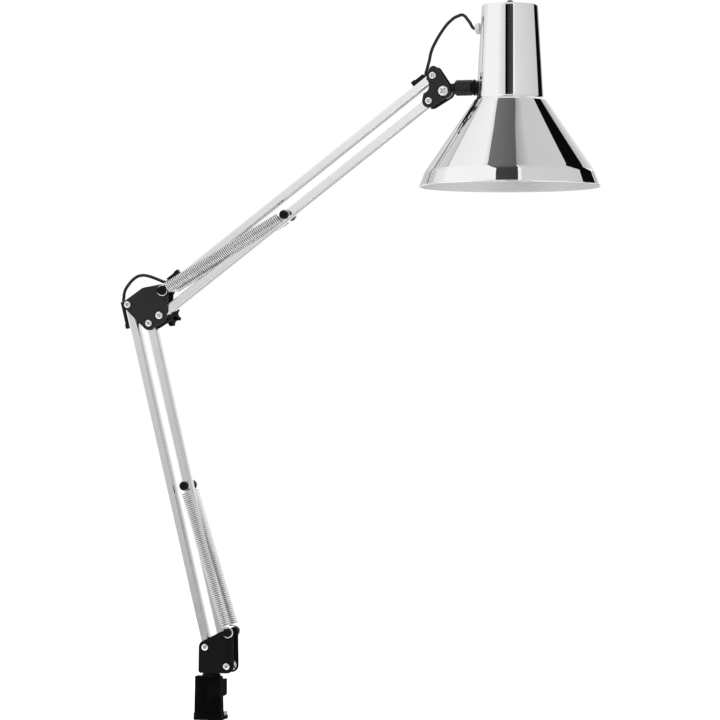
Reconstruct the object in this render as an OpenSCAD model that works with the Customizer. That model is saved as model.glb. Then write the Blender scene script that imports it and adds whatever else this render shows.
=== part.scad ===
// Sprung architect lamp: a table clamp, two arms of parallel bars, tension springs and a metal shade.
// Millimetres. X runs along the arms towards the shade, Y from front to back, Z is up.
// The origin lies under the clamp's upper jaw, on the axis that the lamp swivels about.

/* [Arms] */
// Distance between the pivots of the lower arm
lower_len = 380; // [340:1:420]
// Lean of the lower arm from upright, away from the shade
lower_lean = 13.4; // [10:0.1:17]
// Distance between the pivots of the upper arm
upper_len = 375; // [340:1:410]
// Lean of the upper arm from upright, towards the shade
upper_lean = 53.1; // [50:0.1:56]
// Width of a bar, seen from the front
bar_w = 8.9; // [8.4:0.1:9.2]
// Depth of a bar, from front to back
bar_d = 15; // [14:0.5:16]
// Wall of a bar
bar_wall = 1; // [0.8:0.1:1.2]
// Radius of a bar's long edges
bar_round = 1.5; // [1.3:0.1:1.8]
// Length of a bar beyond its pivots
bar_end = 5; // [4.6:0.1:5.2]

/* [Linkage] */
// Distance across between the pivots of the two lower bars
link_across = 24.2; // [23:0.1:26]
// Distance across from the swivel's axis to the right lower bar's pivot
base_across = 20.2; // [19.5:0.1:21]
// Drop from the left lower pivot to the right one
link_drop = 20.3; // [19:0.1:21]
// Distance across from the right lower bar's pivot to the upper arm's main pivot
main_across = 12; // [11.6:0.1:13]
// Rise from the right lower bar's pivot to the upper arm's main pivot
main_rise = 8.5; // [8.3:0.1:9.5]
// Distance across from the bottom upper bar's pivot to the top one's
pair_across = 4.4; // [4:0.1:5.5]
// Rise from the bottom upper bar's pivot to the top one's
pair_rise = 26.7; // [26:0.1:28]
// Distance across from the bottom upper bar's pivot to the head's tilt pivot
tilt_across = 15.9; // [15.5:0.1:17]
// Rise from the bottom upper bar's pivot to the head's tilt pivot
tilt_rise = 10.1; // [9.5:0.1:10.8]

/* [Pivots] */
// Thickness of a side plate
plate_t = 1.5; // [1.2:0.1:2]
// Thickness of a nylon washer between bar and plate
washer_t = 0.7; // [0.5:0.1:1]
// Diameter of a nylon washer
washer_d = 11; // [9:0.5:12]
// Free play between a moving bar or tongue and its washer
side_gap = 0.1; // [0.05:0.05:0.2]
// Outer diameter of the sleeve that a bar turns on
sleeve_d = 5.6; // [5.2:0.1:5.8]
// Radial clearance of a turning fit
run_gap = 0.05; // [0.02:0.01:0.1]
// Radial clearance of a bar on a sleeve where the linkage closes on itself
loose_gap = 0.3; // [0.2:0.05:0.4]
// Radial clearance of a screw in its hole
hole_gap = 0.1; // [0.05:0.05:0.2]
// Diameter of the pivot screws
screw_d = 4; // [3.5:0.1:4.2]
// Diameter of a pivot screw's head
screw_head_d = 7.6; // [7:0.1:8.2]
// Height of a pivot screw's head
screw_head_h = 2.4; // [1.8:0.1:3]
// Width across the flats of a pivot nut
nut_af = 7; // [6.5:0.1:7.5]
// Height of a pivot nut
nut_h = 3.2; // [2.4:0.1:4]

/* [Springs] */
// Outer diameter of a spring
spring_d = 10; // [9.5:0.1:10.5]
// Diameter of the spring wire
wire_d = 1.2; // [1:0.05:1.4]
// Turns of a spring, and a half
spring_turns = 19; // [12:1:20]
// Distance of a spring from the middle plane of the arm
spring_y = 13.6; // [13.3:0.1:14.2]
// Diameter of a spring pin outside the bar
pin_d = 8.4; // [7.6:0.1:8.6]
// Diameter of a spring pin's end flange
pin_flange_d = 9.1; // [8.8:0.1:10]
// Half of a spring pin's length
pin_half = 18; // [17.5:0.1:19]
// Distance of the lower spring pin along its bar from the base pivot
lower_pin_at = 199.5; // [180:0.5:220]
// Distance of the upper spring pin along its bar from the elbow pivot
upper_pin_at = 177.5; // [160:0.5:200]
// Distance across from the right base pivot to the spring studs
stud_across = 2.5; // [1.5:0.1:3]
// Rise from the right base pivot to the spring studs
stud_rise = 36.8; // [35:0.1:38]

/* [Clamp] */
// Width of the clamp at its foot
clamp_w = 30; // [28:0.5:34]
// Depth of the clamp from front to back
clamp_depth = 26; // [25:0.5:29]
// Distance of the clamp's front face before the swivel axis
clamp_front = 14; // [13.5:0.5:15]
// Thickness of the clamp's spine
spine_t = 11; // [10:0.5:11.5]
// Height of the throat below the jaw pad
throat_h = 21; // [20:0.5:26]
// Thickness of the lower jaw
lower_jaw_t = 4; // [3.5:0.5:6]
// Height of the clamp above the jaw pad
clamp_top = 22.4; // [21.5:0.1:24]
// Height of the upper jaw's rear shoulder above the jaw pad
jaw_top = 18.2; // [16:0.1:19]
// Thickness of the rubber jaw pad
pad_t = 1; // [0.8:0.1:1.5]
// Diameter of the swivel spigot
spigot_d = 11.9; // [10:0.1:12]
// Thickness of the bush round the spigot
bush_t = 1.5; // [1:0.1:2]
// Diameter of the clamp screw
clamp_screw_d = 8; // [6:0.5:8]
// Length of the clamp screw below the lower jaw
clamp_screw_len = 22; // [18:0.5:30]
// Thickness of the pressure plate
press_t = 4.1; // [3.5:0.1:5]

/* [Knob and knuckle] */
// Diameter of the elbow knob's star
knob_d = 22.4; // [18:0.1:24]
// Lobes of the elbow knob
knob_lobes = 6; // [5:1:8]
// Diameter of the knuckle's barrel
barrel_d = 16.8; // [14:0.1:17]
// Length of the knuckle's barrel
barrel_len = 18.5; // [16:0.1:19]
// Distance from the tilt pivot to the barrel
barrel_at = 10.6; // [10:0.1:11.5]
// Height of the barrel's axis above the tilt pivot
barrel_rise = 3.6; // [2.5:0.1:4]
// Thickness of the knuckle's tongue
tongue_t = 8; // [7:0.5:9]
// Diameter of the knuckle's tongue
tongue_d = 15; // [14:0.5:16]
// Diameter of the tilt screw
tilt_d = 5; // [4.5:0.1:5.5]
// Diameter of the hollow stud that carries the shade
stud_d = 9.9; // [9:0.1:10.5]

/* [Shade] */
// Distance from the tilt pivot to the shade's axis
shade_reach = 69.9; // [68:0.1:74]
// Thickness of the shade's sheet
shade_t = 0.9; // [0.7:0.1:1.2]
// Radius of the neck at its top
neck_top_r = 29.8; // [28.5:0.1:31]
// Radius of the neck at its foot
neck_foot_r = 35.4; // [34:0.1:36]
// Height of the neck's top above the barrel's axis
neck_up = 86; // [84:0.5:95]
// Depth of the neck's foot below the barrel's axis
neck_down = 8.6; // [8:0.1:12]
// Radius at the cone's foot
cone_r = 85.3; // [80:0.1:90]
// Depth of the cone's foot below the barrel's axis
cone_down = 81.6; // [76:0.1:88]
// Radius of the rim
rim_r = 96.2; // [92:0.1:105]
// Depth of the rim below the barrel's axis
rim_down = 104.8; // [98:0.1:112]
// Thickness of the rolled rim
bead_d = 1.8; // [1.4:0.1:2.4]
// Height of the cord bushing above the barrel's axis
bushing_up = 62.2; // [58:0.1:66]
// Diameter of the cord bushing
bushing_d = 11.8; // [10:0.1:13]

/* [Lampholder] */
// Height of the strap between the shade's top and the lampholder
strap_h = 28; // [26:0.5:32]
// Width of the strap across the neck
strap_w = 44; // [42:0.5:46]
// Depth of the strap from front to back
strap_d = 16; // [14:0.5:18]
// Thickness of the strap
strap_t = 1.5; // [1:0.1:2]
// Outer diameter of the lampholder
holder_d = 36; // [34:0.5:40]
// Length of the lampholder
holder_len = 44; // [40:0.5:48]
// Bore of the lampholder
holder_bore = 27.2; // [27:0.1:28]
// Diameter of the bulb
bulb_d = 60; // [50:1:64]
// Diameter of the switch's body
switch_d = 20; // [18:0.5:24]
// Height of the switch's body
switch_h = 14; // [12:0.5:15]
// Diameter of the switch's push button
button_d = 7; // [6:0.1:8]
// Travel of the push button
button_travel = 2.5; // [1.5:0.1:3]
// Height of the push button above the shade's top
button_rise = 5.2; // [4.5:0.1:6]
// Length of the bulb
bulb_len = 84; // [78:0.5:88]
// Length of the bulb's screw cap
cap_len = 24; // [22:0.5:26]
// Diameter of the lampholder's threaded nipple
nipple_d = 10; // [9:0.1:11]
// Width over the corners of the nipple's nut
nipple_nut_d = 16; // [14:0.5:18]
// Width over the corners of the nut on the shade's stud
stud_nut_d = 15; // [14:0.5:17]

/* [Cord] */
// Diameter of the cord
cord_d = 3.4; // [3:0.1:3.6]
// Height of a cord guide above the bar's face
guide_h = 5.2; // [5:0.1:6]
// Width of a cord guide
guide_w = 5.8; // [5.4:0.1:7]
// Distance of the cord's inlet along the lower left bar from its base pivot
inlet_at = 42; // [36:0.5:60]

/* [Hidden] */
$fn = 48;
hull_fn = 32;

// Colours as the photograph shows them
chrome = [0.86, 0.87, 0.88];
steel = [0.72, 0.73, 0.75];
satin_black = [0.2, 0.2, 0.21];
gloss_black = [0.09, 0.09, 0.1];
nylon = [0.88, 0.88, 0.86];
rubber = [0.13, 0.13, 0.13];
brass = [0.76, 0.62, 0.32];

// Directions of the two arms, and the sides that face away from the shade or up
lower_dir = [-sin(lower_lean), 0, cos(lower_lean)];
upper_dir = [sin(upper_lean), 0, cos(upper_lean)];
lower_out = [-cos(lower_lean), 0, -sin(lower_lean)];
upper_out = [-cos(upper_lean), 0, sin(upper_lean)];

// The base pivots stand on the bracket, whose web lies above the clamp
bush_flange_t = 1;
spigot_gap = 0.1;
web_t = 2;
web_z = clamp_top + 3;
corner_left_r = 7.2;
corner_right_r = 7.6;
base_right = [base_across, 0, web_z + corner_right_r];
base_left = base_right + [-link_across, 0, link_drop];
stud_at = base_right + [stud_across, 0, stud_rise];

// Elbow and head pivots follow from the bars' lengths
elbow_left = base_left + lower_len * lower_dir;
elbow_right = base_right + lower_len * lower_dir;
elbow_main = elbow_right + [main_across, 0, main_rise];
elbow_top = elbow_main + [pair_across, 0, pair_rise];
head_low = elbow_main + upper_len * upper_dir;
head_top = elbow_top + upper_len * upper_dir;
tilt_pivot = head_low + [tilt_across, 0, tilt_rise];
barrel_z = tilt_pivot.z + barrel_rise;
barrel_x = tilt_pivot.x + barrel_at;
shade_x = tilt_pivot.x + shade_reach;
lower_pin_pos = base_right + lower_pin_at * lower_dir;
upper_pin_pos = elbow_main + upper_pin_at * upper_dir;

// The stack from the middle plane outwards
plate_in = bar_d / 2 + side_gap + washer_t;
plate_out = plate_in + plate_t;
nut_corner_d = nut_af / cos(30);
tilt_washer_t = plate_in - tongue_t / 2 - side_gap;
tilt_washer_d = 13;
tilt_head_d = 11;
tilt_head_h = 3.4;
tilt_nut_d = 9.2;
main_head_d = 8.4;
thread_past_nut = 1;
pin_flange_t = 1.2;

// Knob on the elbow bolt, behind the rear plate
knob_washer_t = 1;
knob_hub_d = 17;
knob_turn = 18;
knob_hub_len = 11;
knob_star_t = 11;
knob_y = plate_out + knob_washer_t + side_gap;
knob_end_y = knob_y + knob_hub_len + knob_star_t;
insert_d = 8;
insert_len = knob_hub_len + 4;
flute_r = knob_d * 0.2;

// Clamp
bush_d = spigot_d + 2 * run_gap + 2 * bush_t;
bush_foot = 3;
boss_wall = 4.4;
collar_d = 21;
rivet_d = 8;
press_gap = 0.1;
press_inset = 0.5;
press_top = -throat_h + press_gap + press_t;
tip_d = 5;
tip_len = 2.3;
jaw_y = clamp_depth - clamp_front;
screw_y = (jaw_y - clamp_front + spine_t) / 2;
foot_h = 8;
foot_proud = 0.5;
top_taper = 1;
handle_d = 18;
handle_h = 11;

// Shade
flange_r = 8.8;
flange_t = 2.8;
barrel_end = barrel_x + barrel_len;
flange_x = barrel_end + 1;
neck_r_at_barrel = neck_top_r + (neck_foot_r - neck_top_r) * neck_up / (neck_up + neck_down);
stud_nut_t = 3.5;
top_z = barrel_z + neck_up;
bushing_z = barrel_z + bushing_up;
bushing_r = neck_top_r + (neck_foot_r - neck_top_r) * (neck_up - bushing_up) / (neck_up + neck_down);
bushing_hole = 7.6;
strap_top = top_z - shade_t - 0.1;
strap_foot = strap_top - strap_h;
switch_neck_d = 11.6;
ring_t = 1.2;
shoulder_z = 13;
holder_top = strap_foot - 0.1;
holder_foot = holder_top - holder_len;
cap_gap = 0.4;
cap_top = holder_top - 16;

// Springs
coil_r = (spring_d - wire_d) / 2;
hook_r = pin_d / 2 + wire_d / 2 + 0.2;
hook_lead = 9.5;
hook_steps = 9;
rings_per_turn = 8;

// Cord: distances along a bar from its pivot, and out from the bar's middle, chosen by hand
cord_r = cord_d / 2;
cord_out = bar_w / 2 + 0.7 + cord_r;
cord_in = 1.5;
dive_out = [[-14, cord_out], [-17, 5.8], [-20, 3.8], [-23, 2.2], [-26, cord_in]];
slot_from = -25.5;
slot_to = -14;
guide_from = -24.5;
lower_guide_to = 5;
upper_guide_to = -9;
guide_tail = 8;
// Loop at the elbow, across and up from the left elbow pivot
elbow_loop = [[-7.8, 7], [-7.5, 11], [-5.9, 16.5], [-2.2, 22], [3, 27.5], [8.8, 31], [14.7, 32],
    [20.5, 31], [27.5, 28.7], [33, 26.6], [38, 24.6]];
// Loop at the head, across and up from the top head pivot
head_loop = [[-10, 3.4], [-8.6, 8], [-7.4, 12.5], [-6.1, 17], [-4.1, 26], [-0.3, 34.6], [5.8, 44.8],
    [13.5, 55], [21.1, 61.5], [28.7, 64.2], [32.5, 62.7], [35.1, 59.5], [38.1, 55.5], [39.8, 52.3],
    [41.5, 50.1]];
// Cord inside the shade, across and up from the bushing's outer end, to the side of the switch
shade_run = [[5, 0], [9.8, 0], [13, 1], [16, 3.6], [19, 6.4], [23, 8.2]];
joint_gap = 0.1;
lead_in = 2;

function unit(v) = v / norm(v);
function tangents(p) = [for (i = [0 : len(p) - 1]) unit(p[min(i + 1, len(p) - 1)] - p[max(i - 1, 0)])];
function square_to(n, t) = unit(n - (n * t) * t);
function normals(t, n0) = [
    for (i = 0, n = square_to(n0, t[0]);
         i < len(t);
         n = i + 1 < len(t) ? square_to(n, t[i + 1]) : n, i = i + 1) n
];
function self_gap(p, skip, d) =
    min([for (i = [0 : len(p) - 1 - skip]) for (j = [i + skip : len(p) - 1]) norm(p[i] - p[j])]) - d;
// A point at a distance along a bar from a pivot, and out from its middle
function on_bar(p, dir, out, a, o) = p + a * dir + o * out;
function at_xz(p, q) = p + [q.x, 0, q.y];
function reversed(v) = [for (i = [len(v) - 1 : -1 : 0]) v[i]];

// One unbroken tube along a list of points
module tube(p, r, sides, n0) {
    t = tangents(p);
    n = normals(t, n0);
    last = (len(p) - 1) * sides;
    points = [
        for (i = [0 : len(p) - 1])
            for (k = [0 : sides - 1])
                let (a = 360 * k / sides)
                    p[i] + r * (cos(a) * n[i] + sin(a) * cross(t[i], n[i]))
    ];
    side_faces = [
        for (i = [0 : len(p) - 2])
            for (k = [0 : sides - 1])
                let (k2 = (k + 1) % sides, a = i * sides)
                    for (f = [[a + k, a + sides + k, a + sides + k2], [a + k, a + sides + k2, a + k2]]) f
    ];
    first_cap = [for (k = [1 : sides - 2]) [0, k, k + 1]];
    last_cap = [for (k = [1 : sides - 2]) [last, last + k + 1, last + k]];
    polyhedron(points, concat(side_faces, first_cap, last_cap));
}

// Local Z points to the front here
module facing_front(p) {
    translate([p.x, 0, p.z]) rotate([90, 0, 0]) children();
}

// Local Z points to the back here
module facing_back(p) {
    translate([p.x, 0, p.z]) rotate([-90, 0, 0]) children();
}

// Local Z points along +X here
module facing_right(x, z) {
    translate([x, 0, z]) rotate([0, 90, 0]) children();
}

module disc_at(p, r) {
    translate([p.x, p.z]) circle(r = r, $fn = hull_fn);
}

module rounded_rect(w, d, r) {
    square([w, d - 2 * r], center = true);
    square([w - 2 * r, d], center = true);
    for (sx = [-1, 1], sy = [-1, 1])
        translate([sx * (w / 2 - r), sy * (d / 2 - r)]) circle(r = r);
}

// A bar of rectangular tube from pivot to pivot, with local Z along it and the outer side at -X
module bar(p, lean, length, first_gap, last_gap, slots, pin_hole_at) {
    translate(p) rotate([0, lean, 0]) difference() {
        translate([0, 0, -bar_end]) linear_extrude(length + 2 * bar_end) difference() {
            rounded_rect(bar_w, bar_d, bar_round);
            rounded_rect(bar_w - 2 * bar_wall, bar_d - 2 * bar_wall, bar_round - bar_wall);
        }
        for (hole = [[0, first_gap], [length, last_gap]])
            translate([0, 0, hole[0]]) rotate([90, 0, 0])
                cylinder(d = sleeve_d + 2 * hole[1], h = bar_d + 2, center = true);
        for (s = slots)
            translate([-bar_w / 2, 0, (s[0] + s[1]) / 2])
                cube([2 * bar_wall + 0.2, cord_d + 0.8, s[1] - s[0]], center = true);
        if (pin_hole_at > 0)
            translate([0, 0, pin_hole_at]) rotate([90, 0, 0])
                cylinder(d = screw_d + 2 * hole_gap, h = bar_d + 2, center = true);
    }
}

module sleeve(p) {
    facing_front(p) difference() {
        cylinder(d = sleeve_d, h = 2 * plate_in, center = true);
        cylinder(d = screw_d + 2 * hole_gap, h = 2 * plate_in + 1, center = true);
    }
}

// Nylon washers on the sleeve, one on each side of a bar
module washers(p) {
    for (s = [-1, 1])
        facing_front(p) translate([0, 0, s * (plate_in - washer_t / 2)]) difference() {
            cylinder(d = washer_d, h = washer_t, center = true);
            cylinder(d = sleeve_d + 2 * hole_gap, h = washer_t + 1, center = true);
        }
}

// Pan head with a cross recess, its underside at the given height
module pan_head(d, h, z) {
    slot_w = d * 0.13;
    slot_l = d * 0.56;
    translate([0, 0, z]) difference() {
        rotate_extrude() polygon([[0, 0], [d / 2, 0], [d / 2, h * 0.4], [d * 0.46, h * 0.68],
            [d * 0.37, h * 0.9], [d * 0.22, h], [0, h]]);
        for (a = [45, 135])
            rotate([0, 0, a]) translate([0, 0, h]) cube([slot_l, slot_w, h * 0.7], center = true);
    }
}

module pivot_screw(p, d, head_d, head_h, past) {
    facing_front(p) {
        pan_head(head_d, head_h, plate_out);
        translate([0, 0, -plate_out - past]) cylinder(d = d, h = 2 * plate_out + past + 0.2);
    }
}

module pivot_nut(p, d, bore, h) {
    facing_back(p) translate([0, 0, plate_out]) difference() {
        cylinder(d = d, h = h, $fn = 6);
        translate([0, 0, -1]) cylinder(d = bore + 2 * hole_gap, h = h + 2);
    }
}

// Pin that two springs hook onto, through a bar or through both plates
module spring_pin(p, core_d, seat_y) {
    facing_front(p) {
        cylinder(d = core_d, h = 2 * seat_y + 1, center = true);
        for (s = [0, 1]) mirror([0, 0, s]) {
            translate([0, 0, seat_y]) cylinder(d = pin_d, h = pin_half - pin_flange_t - seat_y);
            translate([0, 0, pin_half - pin_flange_t]) cylinder(d = pin_flange_d, h = pin_flange_t);
        }
    }
}

// A spring's hook round its pin and its lead to the coil, in the spring's own frame
function hook_points() = concat(
    [for (i = [0 : hook_steps]) let (a = -40 - 280 * i / hook_steps) [hook_r * sin(a), 0, hook_r * cos(a)]],
    [[-1.2, 0.3, 7.2]]
);
function coil_points(length) =
    let (steps = (spring_turns + 0.5) * rings_per_turn, z0 = hook_lead, rise = length - 2 * hook_lead)
    [for (i = [0 : steps]) let (a = 180 + 360 * i / rings_per_turn)
        [coil_r * cos(a), coil_r * sin(a), z0 + rise * i / steps]];
function turned_over(p, length) = [for (q = reversed(p)) [-q.x, q.y, length - q.z]];
function spring_points(length) =
    concat(hook_points(), coil_points(length), turned_over(hook_points(), length));

module spring(p, q, y) {
    d = q - p;
    translate([p.x, y, p.z]) rotate([0, atan2(d.x, d.z), 0])
        tube(spring_points(norm(d)), wire_d / 2, 6, [1, 0, 0]);
}

// Channel that holds the cord on a bar's outer face, with a lug at the end where the cord dives in
module cord_guide(from, to, lug_at, tail_from, tail_to) {
    face = -bar_w / 2;
    lug_l = 5;
    channel_w = cord_d + 0.6;
    channel_h = 0.7 + cord_d + 0.4;
    difference() {
        union() {
            translate([face - guide_h, -guide_w / 2, from]) cube([guide_h, guide_w, to - from]);
            translate([face - guide_h - 0.7, -guide_w / 2 - 0.4, lug_at - lug_l / 2])
                cube([guide_h + 0.7, guide_w + 0.8, lug_l]);
            translate([face - 1.6, -guide_w / 2, tail_from]) cube([1.6, guide_w, tail_to - tail_from]);
        }
        translate([face - channel_h, -channel_w / 2, min(from, tail_from) - 1])
            cube([channel_h + 1, channel_w, max(to, tail_to) - min(from, tail_from) + 2]);
    }
    // End wall of the channel behind the lug, which fills the slot's end
    wall_z = lug_at < (from + to) / 2 ? from : to - 1;
    translate([face - guide_h + 0.2, -channel_w / 2 - 0.1, wall_z])
        cube([guide_h - 0.2, channel_w + 0.2, 1]);
}

module clamp_body() {
    half_top = clamp_w / 2 - top_taper;
    spine_back = -clamp_front + spine_t;
    foot_z = -throat_h - lower_jaw_t;
    color(gloss_black) difference() {
        union() {
            // Spine, a little narrower towards its top
            translate([0, spine_back, 0]) rotate([90, 0, 0]) linear_extrude(spine_t)
                polygon([[-clamp_w / 2, foot_z], [clamp_w / 2, foot_z],
                    [half_top, clamp_top], [-half_top, clamp_top]]);
            // Foot band round the spine
            translate([-clamp_w / 2 - foot_proud, -clamp_front - foot_proud, foot_z])
                cube([clamp_w + 2 * foot_proud, spine_t + foot_proud, foot_h]);
            // Upper jaw with its rear shoulder, and the boss for the swivel
            translate([-half_top, spine_back - 1, pad_t])
                cube([2 * half_top, jaw_y - spine_back + 1, jaw_top - pad_t]);
            translate([0, 0, pad_t])
                cylinder(d = bush_d + 2 * boss_wall, h = clamp_top - bush_flange_t - pad_t);
            // Lower jaw
            translate([-clamp_w / 2, spine_back - 1, foot_z])
                cube([clamp_w, jaw_y - spine_back + 1, lower_jaw_t]);
        }
        // Socket for the bush
        translate([0, 0, bush_foot]) cylinder(d = bush_d + 2 * run_gap, h = clamp_top);
        translate([0, 0, clamp_top - bush_flange_t]) cylinder(d = collar_d + 0.2, h = clamp_top);
        // Thread for the clamp screw
        translate([0, screw_y, foot_z - 1]) cylinder(d = clamp_screw_d + 2 * run_gap, h = lower_jaw_t + 2);
    }
}

module swivel_bush() {
    color(nylon) difference() {
        union() {
            translate([0, 0, bush_foot]) cylinder(d = bush_d, h = clamp_top - bush_foot);
            translate([0, 0, clamp_top - bush_flange_t]) cylinder(d = collar_d, h = bush_flange_t);
        }
        translate([0, 0, bush_foot + 1]) cylinder(d = spigot_d + 2 * run_gap, h = clamp_top);
    }
}

module jaw_pad() {
    w = clamp_w - 2 * top_taper - 2;
    back = -clamp_front + spine_t;
    color(rubber) translate([-w / 2, back + 0.5, 0]) cube([w, jaw_y - back - 1.5, pad_t]);
}

module pressure_plate() {
    w = clamp_w - 2 * press_inset;
    back = -clamp_front + spine_t + press_inset;
    z0 = -throat_h + press_gap;
    color(steel) difference() {
        translate([-w / 2, back, z0]) cube([w, jaw_y - press_inset - back, press_t]);
        translate([0, screw_y, z0 - 1]) cylinder(d = tip_d + 2 * run_gap, h = tip_len + 1.1);
    }
}

module clamp_screw() {
    z_top = -throat_h;
    z_low = z_top - lower_jaw_t - clamp_screw_len;
    color(steel) translate([0, screw_y, 0]) {
        translate([0, 0, z_low]) cylinder(d = clamp_screw_d, h = z_top - z_low);
        translate([0, 0, z_top - 0.5]) cylinder(d = tip_d, h = tip_len + 0.5);
    }
}

// Fluted thumb knob on the foot of the clamp screw
module clamp_handle() {
    z_top = -throat_h - lower_jaw_t - clamp_screw_len + 7;
    flutes = 8;
    color(gloss_black) translate([0, screw_y, z_top - handle_h]) difference() {
        union() {
            cylinder(d = handle_d, h = handle_h - 2);
            translate([0, 0, handle_h - 2]) cylinder(d1 = handle_d, d2 = handle_d - 4, h = 2);
        }
        for (i = [0 : flutes - 1])
            rotate([0, 0, 360 * i / flutes]) translate([handle_d / 2 + 1, 0, -1])
                cylinder(r = handle_d * 0.13, h = handle_h + 2);
        translate([0, 0, handle_h - 7]) cylinder(d = clamp_screw_d + 2 * hole_gap, h = handle_h);
    }
}

module base_outline() {
    corner = [base_left.x - 4.6, 0, web_z + 3];
    hull() {
        disc_at(base_left, corner_left_r);
        disc_at(stud_at, 4.6);
        disc_at(base_right, corner_right_r);
        disc_at(corner, 3);
    }
}

// Folded U bracket: two plates and the web that the spigot is riveted to
module base_bracket() {
    groove_x = stud_at.x - 0.4;
    groove_w = 1.6;
    groove_deep = plate_t * 0.5;
    groove_from = base_right.z + corner_right_r;
    groove_to = stud_at.z - 5.8;
    web_left = base_left.x - 5;
    web_right = base_right.x - 7.4;
    color(gloss_black) difference() {
        union() {
            for (y = [plate_out, -plate_in])
                translate([0, y, 0]) rotate([90, 0, 0]) linear_extrude(plate_t) base_outline();
            translate([web_left, -plate_out + 0.2, web_z])
                cube([web_right - web_left, 2 * plate_out - 0.4, web_t]);
        }
        for (p = [base_left, base_right, stud_at])
            facing_front(p) cylinder(d = screw_d + 2 * hole_gap, h = 2 * plate_out + 2, center = true);
        // A pressed groove down both plates
        for (s = [0, 1]) mirror([0, s, 0])
            translate([groove_x - groove_w / 2, -plate_out - 1, groove_from])
                cube([groove_w, 1 + groove_deep, groove_to - groove_from]);
        translate([0, 0, web_z - 1]) cylinder(d = rivet_d + 2 * hole_gap, h = web_t + 2);
    }
}

module base_spigot() {
    color(gloss_black) {
        translate([0, 0, bush_foot + 1 + spigot_gap]) cylinder(d = spigot_d, h = web_z - bush_foot - 2);
        translate([0, 0, clamp_top + spigot_gap]) rotate_extrude()
            polygon([[0, 0], [collar_d / 2, 0], [collar_d / 2 - 0.4, 0.8], [collar_d / 2 - 1.4, 1.5],
                [collar_d / 2 - 1.4, web_z - clamp_top - spigot_gap], [0, web_z - clamp_top - spigot_gap]]);
        translate([0, 0, web_z - 0.5]) cylinder(d = rivet_d, h = web_t + 1);
        translate([0, 0, web_z + web_t]) rotate_extrude()
            polygon([[0, 0], [rivet_d * 0.75, 0], [rivet_d * 0.62, 1.2], [rivet_d * 0.38, 1.6], [0, 1.6]]);
    }
}

module base_sleeves() {
    color(steel) for (p = [base_left, base_right]) sleeve(p);
}

module base_screws() {
    color(steel) for (p = [base_left, base_right])
        pivot_screw(p, screw_d, screw_head_d, screw_head_h, nut_h + thread_past_nut);
}

module base_nuts() {
    color(steel) for (p = [base_left, base_right]) pivot_nut(p, nut_corner_d, screw_d, nut_h);
}

module base_washers() {
    color(nylon) for (p = [base_left, base_right]) washers(p);
}

// Two short studs, riveted one to each plate so that the bar swings freely between them
module base_spring_studs() {
    shank_h = plate_t + 0.6;
    color(gloss_black) for (s = [0, 1]) facing_front(stud_at) mirror([0, 0, s]) {
        translate([0, 0, plate_out]) cylinder(d = pin_d, h = pin_half - pin_flange_t - plate_out);
        translate([0, 0, pin_half - pin_flange_t]) cylinder(d = pin_flange_d, h = pin_flange_t);
        translate([0, 0, plate_out - shank_h]) cylinder(d = screw_d, h = shank_h + 0.5);
    }
}

module lower_left_bar() {
    inlet_d = cord_d + 2.6;
    color(chrome) difference() {
        bar(base_left, -lower_lean, lower_len, run_gap, run_gap,
            [[lower_len + slot_from, lower_len + slot_to]], 0);
        translate(base_left) rotate([0, -lower_lean, 0]) translate([0, 0, inlet_at]) rotate([-90, 0, 0])
            cylinder(d = inlet_d, h = bar_d);
    }
}

module lower_cord_guide() {
    color(gloss_black) translate(base_left) rotate([0, -lower_lean, 0]) translate([0, 0, lower_len])
        cord_guide(guide_from, lower_guide_to, guide_from + 2.5, guide_from, lower_guide_to);
}

// Grommet in the back of the bar, where the supply lead goes in
module cord_inlet_bush() {
    inlet_d = cord_d + 2.6;
    bore = cord_d + 0.4;
    color(rubber) translate(base_left) rotate([0, -lower_lean, 0]) translate([0, 0, inlet_at])
        rotate([-90, 0, 0]) rotate_extrude() polygon([[bore / 2, bar_d / 2 - bar_wall - 0.8],
            [inlet_d / 2 - 0.1, bar_d / 2 - bar_wall - 0.8], [inlet_d / 2 - 0.1, bar_d / 2],
            [inlet_d / 2 + 1, bar_d / 2], [inlet_d / 2 + 0.8, bar_d / 2 + 1.4], [bore / 2, bar_d / 2 + 2]]);
}

// Cord from the inlet up the inside of the left bar and out under its guide
module lower_cord() {
    inlet = [[0, inlet_at, bar_d / 2 + 1.5], [0, inlet_at, bar_d / 2 - 2.5], [0.4, inlet_at + 2.5, 2.2],
        [1, inlet_at + 7, 0.7], [cord_in, inlet_at + 14, 0]];
    out_run = concat([for (q = reversed(dive_out)) [q[1], lower_len + q[0], 0]],
        [[cord_out, lower_len - 6, 0], [cord_out, lower_len + lower_guide_to, 0]]);
    color(gloss_black) tube([for (q = concat(inlet, out_run))
        on_bar(base_left, lower_dir, lower_out, q[1], q[0]) + [0, q[2], 0]], cord_r, 8, [1, 0, 0]);
}

module lower_right_bar() {
    color(chrome) bar(base_right, -lower_lean, lower_len, run_gap, loose_gap, [], lower_pin_at);
}

module lower_spring_pin() {
    color(gloss_black) spring_pin(lower_pin_pos, screw_d, bar_d / 2);
}

module lower_front_spring() {
    color(steel) spring(stud_at, lower_pin_pos, -spring_y);
}

module lower_rear_spring() {
    color(steel) spring(stud_at, lower_pin_pos, spring_y);
}

module elbow_outline() {
    hull() {
        disc_at(elbow_left, 5.3);
        disc_at(elbow_left + [21.1, 0, 8], 10.7);
        disc_at(elbow_top + [-2.7, 0, -1.4], 8.2);
        disc_at(elbow_main, 8.6);
        disc_at(elbow_right, 7.6);
    }
}

module elbow_plate(y) {
    color(satin_black) difference() {
        translate([0, y, 0]) rotate([90, 0, 0]) linear_extrude(plate_t) elbow_outline();
        for (p = [elbow_left, elbow_right, elbow_main, elbow_top])
            facing_front(p) cylinder(d = screw_d + 2 * hole_gap, h = 2 * plate_out + 2, center = true);
    }
}

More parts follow.
